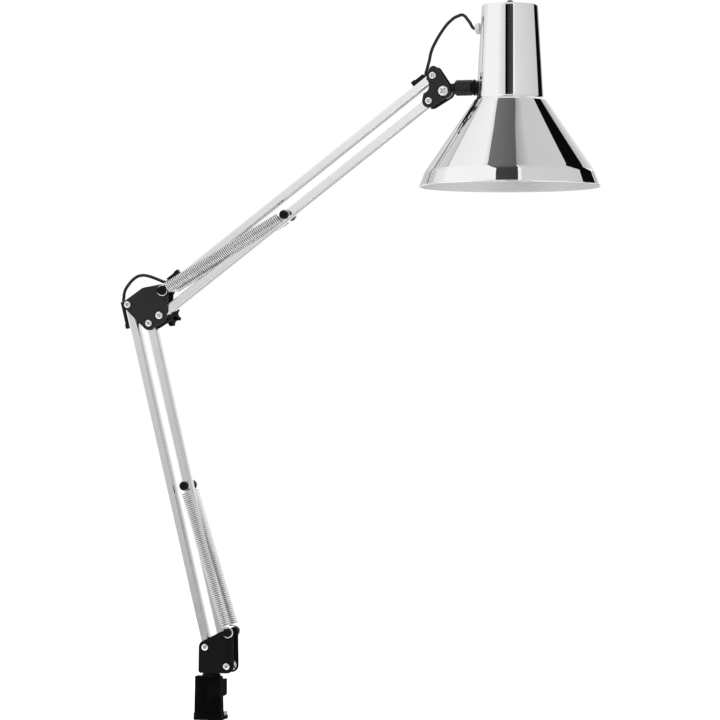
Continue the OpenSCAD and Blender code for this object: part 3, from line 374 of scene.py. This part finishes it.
def even(first, last):
    """Even steps from one value to another, one for each column of a card."""
    return [first + (last - first) * k / (card_columns - 1) for k in range(card_columns)]


def way_to(bearing, rise=0.0):
    """A direction by its bearing to the right of the camera, and its rise, in degrees."""
    turn, up = math.radians(bearing), math.radians(rise)
    level = math.cos(turn) * towards_camera + math.sin(turn) * camera_right
    return math.cos(up) * level + math.sin(up) * Vector((0, 0, 1))


# Each straight zone of the shade's outline: a radius in mm, the height in mm where it is, and the slope.
shade_zones = {"neck": (35.35, -8.6, 0.0598), "cone": (38.4, -14.6, 0.684), "rim": (90.4, -91.0, 0.377)}


def shown_in_shade(zone, turn, up, distance):
    """The place that the camera sees mirrored in a zone of the shade, by a turn round it and a height in mm."""
    radius_there, height_there, slope = shade_zones[zone]
    radius = (radius_there - slope * (up - height_there)) / 1000
    rise = math.atan(slope)
    axis = Vector((shade_x, 0, barrel_z + up / 1000))
    to_camera = camera.location - axis
    to_camera = Vector((to_camera.x, to_camera.y, 0)).normalized()
    aside = Vector((-to_camera.y, to_camera.x, 0))
    outward = math.cos(math.radians(turn)) * to_camera + math.sin(math.radians(turn)) * aside
    point = axis + radius * outward
    normal = math.cos(rise) * outward + math.sin(rise) * Vector((0, 0, 1))
    ray = (point - camera.location).normalized()
    return point + distance * (ray - 2 * ray.dot(normal) * normal)


def card_over_shade(name, edges, tones):
    """A card through edges, each of a zone, a height in mm, its turns left and right, and its distance."""
    studio_card(
        name,
        [[shown_in_shade(zone, turn, up, distance) for turn in even(left, right)]
         for zone, up, left, right, distance in edges],
        tones,
    )


def card_for_shade(name, zone, heights_and_turns, left_tone, right_tone, distance=1.5):
    """A card in one zone of the shade, with a tone that changes evenly from its left to its right."""
    edges = [(zone, up, left, right, distance) for up, left, right in heights_and_turns]
    card_over_shade(name, edges, [even(left_tone, right_tone)] * len(edges))


card_for_shade("card_neck_black", "neck", [(100, -9.6, -5.4), (-24, -8.0, -4.3)], 0.002, 0.002)
card_for_shade("card_neck_dark", "neck", [(100, -5.4, 6.4), (-24, -4.3, 5.0)], 0.02, 0.065)
card_for_shade("card_neck_right", "neck", [(100, 57.8, 70), (28, 57.5, 73), (-24, 56.5, 72)], card_black, 0.02)
card_for_shade("card_neck_left", "neck", [(100, -21, -9.6), (-24, -21, -8.0)], 0.84, 0.62)
card_for_shade("card_cone_grey", "cone", [(8, -25.5, 13), (-19, -18.7, 7.6), (-46, -16.2, 4.9),
                                          (-100, -14.6, 4.0)], 0.16, 0.105, distance=1.3)
card_for_shade("card_cone_fade", "cone", [(8, 13, 23), (-19, 7.6, 16), (-46, 4.9, 13), (-100, 4.0, 13)],
               0.33, 0.53, distance=1.3)
card_for_shade("card_cone_edge", "cone", [(8, -30, -25.5), (-19, -23, -18.7), (-46, -20, -16.2),
                                          (-100, -18, -14.6)], 0.87, 0.7, distance=1.3)
card_for_shade("card_cone_right", "cone", [(0, 38.5, 54), (-19, 39.5, 54), (-46, 41.5, 54.5), (-100, 45, 57)],
               card_black, card_black)
card_for_shade("card_cone_far", "cone", [(0, 54, 84), (-19, 54, 84), (-46, 54.5, 84), (-100, 57, 84)],
               0.42, 0.86)
card_over_shade("card_shoulder_right", [("neck", -24, 56.5, 72, 1.5), ("cone", 0, 38.5, 54, 1.5)], card_black)
card_over_shade("card_rim_fold_right", [("cone", -100, 45, 57, 1.5), ("rim", -88, 54.5, 65, 1.5)], card_black)
card_for_shade("card_cone_soft", "cone", [(8, -46.4, -30), (-19, -46.4, -23), (-46, -46.4, -20),
                                          (-100, -46.4, -18)], 0.8, 0.87, distance=1.6)
card_for_shade("card_cone_line", "cone", [(0, -47.4, -46.4), (-100, -47.4, -46.4)], 0.4, 0.4)
card_for_shade("card_cone_left", "cone", [(0, -72, -47.4), (-100, -72, -47.4)], 0.66, 0.56)
card_for_shade("card_rim_dark", "rim", [(-80, -9.5, 5.4), (-112, -8.6, 4.6)], 0.052, 0.038)
card_over_shade("card_rim_fold_middle", [("cone", -92, -14.6, 4.0, 1.3), ("rim", -88, -9.5, 5.4, 1.5)],
                [even(0.15, 0.10), even(0.052, 0.038)])
card_for_shade("card_rim_right", "rim", [(-88, 54.5, 65), (-112, 55.8, 60)], card_black, card_black)
card_for_shade("card_rim_left", "rim", [(-86, -82, -57.5), (-112, -82, -57.5)], 0.56, 0.5)

shade_middle = Vector((0.33, 0, 0.66))
studio_card(
    "card_right_soft",
    [[shade_middle + 1.8 * way_to(bearing, rise) for bearing in even(14, 114)] for rise in even(-20, 72)],
    [even(left_tone, 0.56) for left_tone in even(0.80, 0.52)],
)

studio_card(
    "card_left_soft",
    [[shade_middle + 1.9 * way_to(bearing, rise) for bearing in even(-104, -176)] for rise in even(-12, 34)],
    [even(0.82, 0.5)] * card_columns,
)

# The front faces of all the bars mirror a tall panel that is lighter towards its top. Their sides
# mirror one behind on the right, and the undersides of the upper bars a long sheet on the floor.
front_panel_heights = (-0.055, 0.08, 0.25, 0.79)
front_panel_tones = (0.36, 0.50, 0.55, 0.83)
studio_card(
    "card_front_panel",
    [[Vector((0.06, 0, z)) + 1.2 * way_to(-30) + aside * way_to(60) for aside in even(-0.42, 0.42)]
     for z in front_panel_heights],
    [[tone] * card_columns for tone in front_panel_tones],
)
side_panel_tones = [0.98, 0.98, 0.76, 0.34, 0.3]
studio_card(
    "card_side_panel",
    [[Vector((x, 4, z)) for x in (0.1, 0.42, 1.0, 1.62, 2.4)] for z in (-0.05, 1.7)],
    [side_panel_tones] * 2,
)
sheet_skew, sheet_start, sheet_rows = 0.385, -0.72, (0.12, 0.8, 1.5, 2.2, 3.3)
studio_card(
    "card_floor_behind",
    [[Vector((x + sheet_skew * y + sheet_start, y, -0.05)) for x in (-1.3, -0.3, 0, 0.28, 0.5, 1.4)]
     for y in sheet_rows],
    [[0.96, 0.9, 0.6, 0.36, 0.3, 0.3]] * len(sheet_rows),
)
studio_card(
    "card_table",
    [[Vector((x, y, -0.055)) for x in even(-0.5, 1.2)] for y in (-3.0, 0.9)],
    0.16,
)
studio_card(
    "card_floor_front",
    [[Vector((0.08, 0, -0.05)) + reach * way_to(bearing) for bearing in even(-40, 30)]
     for reach in (0.55, 1.1)],
    0.06,
)
studio_card(
    "card_edge_black",
    [[Vector((0, 0, z)) + 1.5 * way_to(bearing) for bearing in even(4, 34)] for z in (-0.05, 0.72)],
    0.01,
)

lights_middle, lights_away = Vector((0.15, 0, 0.4)), 2.4
for name, bearing, height, size, power in (
    ("key_softbox", -48, 52, 1.4, 22),
    ("fill_softbox", 62, 30, 1.6, 12),
):
    lamp = bpy.data.objects.new(name, bpy.data.lights.new(name, "AREA"))
    bpy.context.scene.collection.objects.link(lamp)
    lamp.data.size = size
    lamp.data.energy = power
    lamp.location = lights_middle + lights_away * way_to(bearing, height)
    lamp.rotation_euler = way_to(bearing, height).to_track_quat("Z", "Y").to_euler()
    lamp.visible_glossy = False


# The clamp is a small iron casting with a powder coat. Its upper jaw holds the swivel's bush, a rubber
# pad lies under that jaw, and a zinc plated pressure plate stands on the clamp screw below.
def dress(material, *nodes):
    for node in nodes:
        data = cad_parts[node].data
        data.materials.clear()
        data.materials.append(material)


powder, place = new_finish("clamp_powder_coat")
speck = place.noise(1700, 3)
rubbed = place.noise(60, 4)
coat_with(
    place,
    height=speck,
    depth=0.00006,
    edge=0.0005,
    Base_Color=place.mix(rubbed.ramp((0.45, 0), (0.75, 1)), (0.002, 0.002, 0.0022), (0.005, 0.005, 0.0054)),
    Roughness=0.36 + 0.16 * speck,
    IOR=1.05,
)
dress(powder, "clamp_body")

pad_rubber, place = new_finish("pad_rubber")
coat_with(place, height=place.noise(1500, 3), depth=0.00008, edge=0.0003,
          Base_Color=place.mix(place.noise(150), (0.008, 0.008, 0.008), (0.014, 0.014, 0.014)),
          Roughness=0.7 + 0.15 * place.noise(200), Specular_IOR_Level=0.15)
dress(pad_rubber, "jaw_pad", "cord_inlet_bush")

zinc, place = new_finish("zinc_plate")
cloud = place.noise(220, 4)
coat_with(
    place,
    height=place.noise(900, 2),
    depth=0.00003,
    edge=0.0003,
    Base_Color=place.mix(cloud, (0.60, 0.61, 0.63), (0.74, 0.74, 0.73)),
    Metallic=1.0,
    Roughness=0.22 + 0.2 * cloud,
)
dress(zinc, "pressure_plate", "clamp_screw", "holder_strap")


# The cord guides, the shade's saddle, the lampholder, the switch and the washers of the elbow and the head
# are moulded in black nylon. The knuckle is a smoother moulding, and the thumb knobs are a duller one.
def grained_black(name, grain, depth, edge, cloud, dark, light, roughness, ior):
    """A black coat with a fine grain. Grain and cloud are noises, and roughness is its least and its spread."""
    material, place = new_finish(name)
    fine = place.noise(*grain)
    coat_with(
        place,
        height=fine,
        depth=depth,
        edge=edge,
        Base_Color=place.mix(place.noise(*cloud), dark, light),
        Roughness=roughness[0] + roughness[1] * fine,
        IOR=ior,
    )
    return material


moulded = grained_black("moulded_black", (2400, 2), 0.00005, 0.0004, (45, 3), (0.003, 0.003, 0.0032),
                        (0.007, 0.007, 0.0074), (0.30, 0.14), 1.22)
dress(moulded, "lower_cord_guide", "upper_cord_guides", "shade_saddle", "lampholder", "switch_body",
      "switch_button", "elbow_washers", "head_washers")
knuckle_moulding = grained_black("knuckle_moulding", (2600, 2), 0.00004, 0.0006, (60, 3),
                                 (0.004, 0.004, 0.0042), (0.009, 0.009, 0.0094), (0.26, 0.12), 1.36)
dress(knuckle_moulding, "knuckle")
knob_moulding = grained_black("knob_moulding", (1900, 2), 0.00005, 0.0005, (55, 3), (0.0012, 0.0012, 0.0013),
                              (0.003, 0.003, 0.0032), (0.36, 0.14), 1.06)
dress(knob_moulding, "clamp_handle", "elbow_knob")

# The bush in the clamp's boss and the washers of the base are turned from natural nylon, and left bare
# so that they run without oil.
nylon, place = new_finish("natural_nylon")
coat_with(place, edge=0.0002, Base_Color=place.mix(place.noise(300), (0.60, 0.60, 0.56), (0.68, 0.68, 0.65)),
          Roughness=0.4 + 0.1 * place.noise(900))
dress(nylon, "swivel_bush", "base_washers")

# The base bracket, the swivel's spigot and the spring pins are steel with a satin black coat, folded,
# turned and riveted. The plates of the elbow and the head are stamped and a little greyer.
bracket_black = grained_black("bracket_satin_black", (2000, 3), 0.00003, 0.0004, (70, 3),
                              (0.003, 0.003, 0.0033), (0.006, 0.006, 0.0064), (0.30, 0.14), 1.16)
dress(bracket_black, "base_bracket", "base_spigot", "base_spring_studs", "lower_spring_pin",
      "elbow_spring_pin", "upper_spring_pin", "swivel_stud")

plate_grey, place = new_finish("plate_satin_grey")
fine = place.noise(2200, 3)
brushed = place.noise(120, 3, stretch=(1, 1, 14))
coat_with(
    place,
    height=fine,
    depth=0.00003,
    edge=0.0004,
    Base_Color=place.mix(brushed, (0.013, 0.013, 0.0137), (0.020, 0.020, 0.021)),
    Roughness=0.32 + 0.12 * fine,
    IOR=1.2,
)
dress(plate_grey, "elbow_front_plate", "elbow_rear_plate", "head_front_plate", "head_rear_plate")

# Pivot screws and nuts are bright plated, and so are the sleeves that the bars turn on, with painted shade
# darkening their recesses. The thumb knob at the elbow is moulded round a turned, blackened insert.
bright, place = new_finish("bright_plate")
rub = place.noise(700, 3)
# Ambient occlusion darkens the plating to dark grey in recesses and round the heads: painted shade.
recess_painted_shade = place.node("AmbientOcclusion", {"samples": 8}, {"Distance": 0.0022}, out="AO")
plating = place.mix(rub, (0.78, 0.78, 0.79), (0.90, 0.90, 0.91))
coat_with(
    place,
    height=place.noise(3000, 2),
    depth=0.00001,
    edge=0.00025,
    Base_Color=place.mix(recess_painted_shade.ramp((0.35, 0), (0.9, 1)), (0.05, 0.05, 0.052), plating),
    Metallic=1.0,
    Roughness=0.12 + 0.14 * rub,
)
dress(bright, "base_screws", "base_nuts", "elbow_screws", "elbow_nuts", "elbow_bolt", "head_screws",
      "head_nuts", "head_pivot_screw", "shade_nuts", "base_sleeves", "elbow_sleeves", "head_sleeves")

blackened, place = new_finish("blackened_insert")
turned = place.noise(1500, 2, stretch=(1, 12, 1))
coat_with(place, height=turned, depth=0.00001,
          Base_Color=place.mix(turned, (0.006, 0.006, 0.006), (0.014, 0.014, 0.014)), IOR=1.2,
          Roughness=0.3 + 0.1 * turned)
dress(blackened, "knob_insert")

# The four arm bars are 8.9 by 15 mm rectangular steel tube with bright chrome, so smooth that they mirror
# the studio, with faint smears, a slight waviness from rolling and a crown across their wide sides.
bar_chrome, place = new_finish("bar_chrome")
smear = place.noise(55, 4)
across, crown_bend = place.axis("Y"), 4.6
crown = 0.0003 - crown_bend * across * across
coat_with(
    place,
    height=crown + 0.00008 * place.noise(38, 1),
    depth=1.0,
    Base_Color=place.mix(smear, (0.80, 0.81, 0.82), (0.88, 0.88, 0.89)),
    Metallic=1.0,
    Roughness=0.05 + 0.09 * smear.ramp((0.4, 0), (0.8, 1)),
)
dress(bar_chrome, "lower_left_bar", "lower_right_bar", "upper_top_bar", "upper_bottom_bar")

# Each arm has two tension springs beside its bars, of 1.3 mm bright drawn wire, wound about 68 turns at
# 12 mm outside, with a round hook at both ends over a flanged pin.
wire, place = new_finish("drawn_wire")
drawn = place.noise(1800, 2)
# The wire is painted darker on the side of each turn that faces the coil's middle: painted shade between the
# turns.
inward = place.node("Attribute", {"attribute_name": "inward"}, {}, out="Fac").ramp((0.2, 0), (0.85, 1))
outer_side = place.mix(drawn, (0.80, 0.80, 0.81), (0.92, 0.92, 0.93))
coat_with(place, Metallic=1.0, Roughness=0.3 + 0.14 * drawn,
          Base_Color=place.mix(inward, outer_side, (0.32, 0.32, 0.325)))


def tension_spring(name, start, end, stands_for):
    """A spring from pin to pin, with a mark on its vertices of how far they face the coil's middle, for painted
    shade.
    """
    wire_radius, coil_radius, hook_radius, lead = 0.00065, 0.00535, 0.0053, 0.0072
    turns, steps_a_turn = 68, 12
    hook_start, hook_round, hook_steps = -40, 280, 20
    length = (end - start).length
    along = (end - start).normalized()
    aside = Vector((0, 1, 0)).cross(along)
    hook = [
        Vector((hook_radius * math.sin(a), 0, hook_radius * math.cos(a)))
        for a in (math.radians(hook_start - hook_round * i / hook_steps) for i in range(hook_steps + 1))
    ]
    steps = int((turns + 0.5) * steps_a_turn)
    coil = [
        Vector((
            coil_radius * math.cos(math.pi + 2 * math.pi * i / steps_a_turn),
            coil_radius * math.sin(math.pi + 2 * math.pi * i / steps_a_turn),
            lead + (length - 2 * lead) * i / steps,
        ))
        for i in range(steps + 1)
    ]
    lead_in = [Vector((-0.0006, 0.0008, 0.0060))]
    other = [Vector((-p.x, p.y, length - p.z)) for p in (hook + lead_in)[::-1]]
    path = [start + p.x * aside + Vector((0, p.y, 0)) + p.z * along for p in hook + lead_in + coil + other]
    piece = tube_along(name, path, wire_radius, sides=8)
    inside = piece.data.attributes.new("inward", "FLOAT", "POINT")
    for corner, value in zip(piece.data.vertices, inside.data):
        offset = corner.co - start
        reach = offset.dot(along)
        if lead < reach < length - lead:
            value.value = (coil_radius + wire_radius - (offset - reach * along).length) / (2 * wire_radius)
    piece.data.materials.append(wire)
    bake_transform(piece)
    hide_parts(stands_for)


spring_stud = base_right + Vector((0.0025, 0, 0.0368))
lower_pin = base_right + 0.1995 * lower_along
upper_pin = elbow_main + 0.1775 * upper_along
spring_offset = 0.0136
for where, side in (("front", -1), ("rear", 1)):
    aside = Vector((0, side * spring_offset, 0))
    tension_spring("lower_%s_tension_spring" % where, spring_stud + aside, lower_pin + aside,
                   "lower_%s_spring" % where)
    tension_spring("upper_%s_tension_spring" % where, elbow_top + aside, upper_pin + aside,
                   "upper_%s_spring" % where)

# The shade is one spun sheet, closed at the top of its neck, with a rolled rim. Outside it has a mirror
# finish with faint rings from the lathe, and inside a soft satin one.
mirror, place = new_finish("shade_mirror")
rings = place.node("TexNoise", {"noise_dimensions": "1D"},
                   {"W": place.axis("Z"), "Scale": 420.0, "Detail": 3.0})
smear = place.noise(30, 4)
coat_with(
    place,
    height=rings,
    depth=0.0000012,
    Base_Color=place.mix(smear, (0.84, 0.845, 0.85), (0.90, 0.90, 0.905)),
    Metallic=1.0,
    Roughness=0.012 + 0.03 * smear.ramp((0.4, 0), (0.8, 1)),
)
satin, place = new_finish("shade_inside")
rings = place.node("TexNoise", {"noise_dimensions": "1D"},
                   {"W": place.axis("Z"), "Scale": 900.0, "Detail": 3.0})
coat_with(
    place,
    height=rings,
    depth=0.00004,
    Base_Color=place.mix(rings, (0.47, 0.473, 0.476), (0.545, 0.548, 0.552)),
    Metallic=0.35,
    Roughness=0.38 + 0.12 * rings,
)

neck_up, sheet, top_hole, longest_step = 0.086, 0.0009, 0.0062, 0.004
outline = [(0.0278, neck_up), (0.0292, 0.0855), (0.0297, 0.0848), (0.0298, 0.0842), (0.02982, 0.0838),
           (0.03548, -0.0108), (0.0355, -0.0112), (0.0357, -0.0121), (0.0362, -0.0129), (0.0371, -0.0136),
           (0.0378, -0.0140), (0.0384, -0.0146), (0.03867, -0.0150), (0.0885, -0.08785), (0.0889, -0.0884),
           (0.0897, -0.0897), (0.0903, -0.0908), (0.09052, -0.0914), (0.0953, -0.1040)]
smooth_outline = [Vector((top_hole, neck_up)), Vector((0.02, neck_up))] + [Vector(p) for p in outline]
fine_outline = []
for one, two in zip(smooth_outline, smooth_outline[1:]):
    steps = max(1, int((two - one).length / longest_step))
    fine_outline += [one.lerp(two, k / steps) for k in range(steps)]
fine_outline.append(smooth_outline[-1])
rim_radius, rim_height, lip_radius = 0.0953, -0.1039, 0.0009
lip = [Vector((rim_radius + lip_radius * math.sin(a), rim_height + lip_radius * (math.cos(a) - 1)))
       for a in (math.radians(20 + 25 * k) for k in range(9))]
inner = [p + Vector((-1.1 * sheet, -0.35 * sheet)) for p in reversed(fine_outline[2:])]
inner += [Vector((0.02, neck_up - sheet)), Vector((top_hole, neck_up - sheet))]
profile = fine_outline + lip + inner
made = bmesh.new()
around = 240
spun = []
for p in profile:
    spun.append([
        made.verts.new((shade_x + p.x * math.cos(a), p.x * math.sin(a), barrel_z + p.y))
        for a in (2 * math.pi * k / around for k in range(around))
    ])
for i, (one, two) in enumerate(zip(spun, spun[1:] + spun[:1])):
    for k in range(around):
        face = made.faces.new((one[k], two[k], two[(k + 1) % around], one[(k + 1) % around]))
        face.material_index = int(len(fine_outline) + len(lip) - 2 <= i < len(spun) - 1)
shade_shell = mesh_piece("shade_shell", made, smooth_below=50)
shade_shell.data.materials.append(mirror)
shade_shell.data.materials.append(satin)
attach(shade_shell, "shade")
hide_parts("shade")

# A smoky moulded bushing keeps the cord from chafing in the neck. Below the switch a strap carries the
# lampholder, with a frosted bulb in its screw cap.
smoky, place = new_finish("smoky_bushing")
coat_with(place, edge=0.0003, Base_Color=place.mix(place.noise(400), (0.62, 0.62, 0.61), (0.74, 0.74, 0.73)),
          Roughness=0.25 + 0.1 * place.noise(600), Transmission_Weight=0.3)
dress(smoky, "cord_bushing")

cap_metal, place = new_finish("bulb_cap_metal")
rub = place.noise(500, 3)
thread = place.math("PINGPONG", place.axis("Z"), 0.0018)
coat_with(place, height=thread, depth=0.4, Base_Color=place.mix(rub, (0.6, 0.6, 0.61), (0.75, 0.75, 0.75)),
          Metallic=1.0, Roughness=0.25 + 0.15 * rub)
dress(cap_metal, "bulb_cap")

frosted, place = new_finish("frosted_glass")
coat_with(place, height=place.noise(3500, 1), depth=0.00001,
          Base_Color=place.mix(place.noise(60, 2), (0.86, 0.86, 0.84), (0.90, 0.90, 0.88)),
          Roughness=0.32 + 0.08 * place.noise(900), Coat_Weight=0.3 + 0.1 * place.noise(40),
          Subsurface_Weight=0.2, Subsurface_Scale=0.004)
dress(frosted, "bulb_glass")
